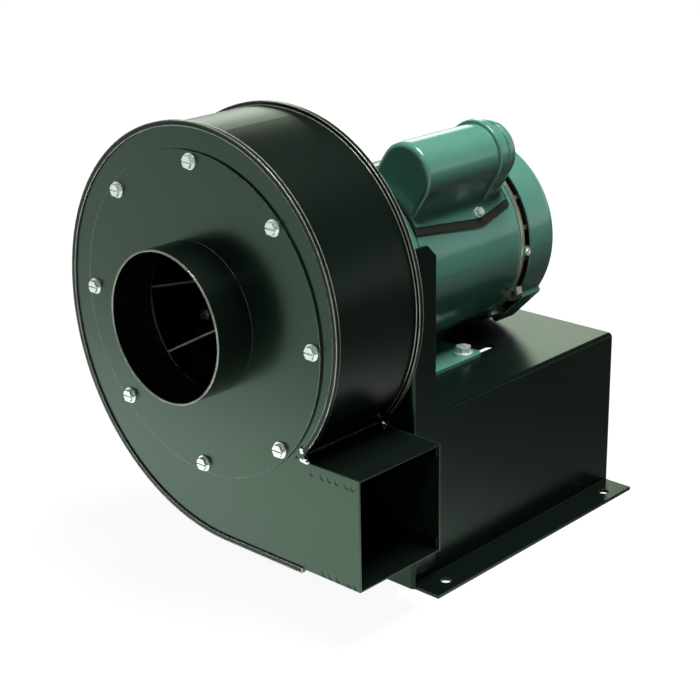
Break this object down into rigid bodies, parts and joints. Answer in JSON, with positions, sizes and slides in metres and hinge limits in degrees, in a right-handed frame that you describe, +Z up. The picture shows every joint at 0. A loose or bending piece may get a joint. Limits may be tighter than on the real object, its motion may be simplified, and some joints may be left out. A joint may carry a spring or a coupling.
{
  "type": "pressure blower",
  "caption": "Direct-drive pressure blower: scroll housing with round inlet collar and square outlet, paddle wheel, foot-mounted motor with capacitor, folded pedestal.",
  "frame": {"origin": "on the floor, in the middle of the four base holes", "axes": "+X out of the outlet, +Y along the shaft from the inlet to the motor, +Z up"},
  "size_m": [0.335, 0.4303, 0.4004],
  "materials": {
    "black_coat": "semi-gloss powder coat",
    "pedestal_coat": "semi-gloss powder coat",
    "teal_enamel": "gloss enamel",
    "zinc": "bright zinc plate",
    "steel": "ground steel",
    "cast_metal": "cast",
    "lamination": "varnished stack",
    "copper": "varnished wire",
    "rubber": "matte",
    "plastic": "matte moulding",
    "capacitor_case": "drawn can"
  },
  "bodies": {
    "blower_frame": {"bracket_welds": "pedestal_coat", "capacitor": "capacitor_case", "capacitor_cover": "teal_enamel", "capacitor_gasket": "rubber", "capacitor_screws": "zinc", "collar_weld": "black_coat", "conduit_box": "teal_enamel", "conduit_cover": "teal_enamel", "conduit_screws": "zinc", "corner_studs": "zinc", "cutoff_welds": "black_coat", "fan_cover": "teal_enamel", "fan_cover_screws": "zinc", "front_bearing_outer": "steel", "front_end_bell": "teal_enamel", "front_side_plate": "black_coat", "housing_bolts": "zinc", "housing_nuts": "zinc", "housing_spacers": "black_coat", "inlet_collar": "black_coat", "inlet_nuts": "zinc", "inlet_plate": "black_coat", "inlet_screws": "zinc", "motor_base": "teal_enamel", "motor_foot_bolts": "zinc", "motor_foot_nuts": "zinc", "motor_shell": "teal_enamel", "outlet_roof": "black_coat", "pedestal": "pedestal_coat", "rear_bearing_outer": "steel", "rear_end_bell": "cast_metal", "rear_side_plate": "black_coat", "scroll_wrapper": "black_coat", "start_switch": "plastic", "stator_core": "lamination", "stator_windings": "copper", "support_bracket": "pedestal_coat", "through_bolts": "zinc", "through_nuts": "zinc"},
    "rotor": {"motor_shaft": "steel", "wheel_backplate": "black_coat", "wheel_shroud": "black_coat", "wheel_blades": "black_coat", "wheel_hub": "cast_metal", "hub_set_screw": "steel", "hub_rivets": "zinc", "balance_weight": "zinc", "shaft_key": "steel", "front_bearing_inner": "steel", "rear_bearing_inner": "steel", "rotor_core": "lamination", "rotor_end_rings": "cast_metal", "start_governor": "steel", "cooling_fan": "plastic"},
    "ball_trains": {"front_bearing_balls": "steel", "front_bearing_cage": "steel", "rear_bearing_balls": "steel", "rear_bearing_cage": "steel"}
  },
  "joints": [
    {"name": "rotor_spin", "type": "hinge", "parent": "blower_frame", "child": "rotor", "pos_m": [0, 0, 0.2413], "axis": [0, 1, 0], "continuous": true},
    {"name": "ball_train_spin", "type": "hinge", "parent": "blower_frame", "child": "ball_trains", "pos_m": [0, 0, 0.2413], "axis": [0, 1, 0], "continuous": true}
  ],
  "couplings": [
    {"joint": "ball_train_spin", "follows": "rotor_spin", "ratio": 0.4}
  ]
}
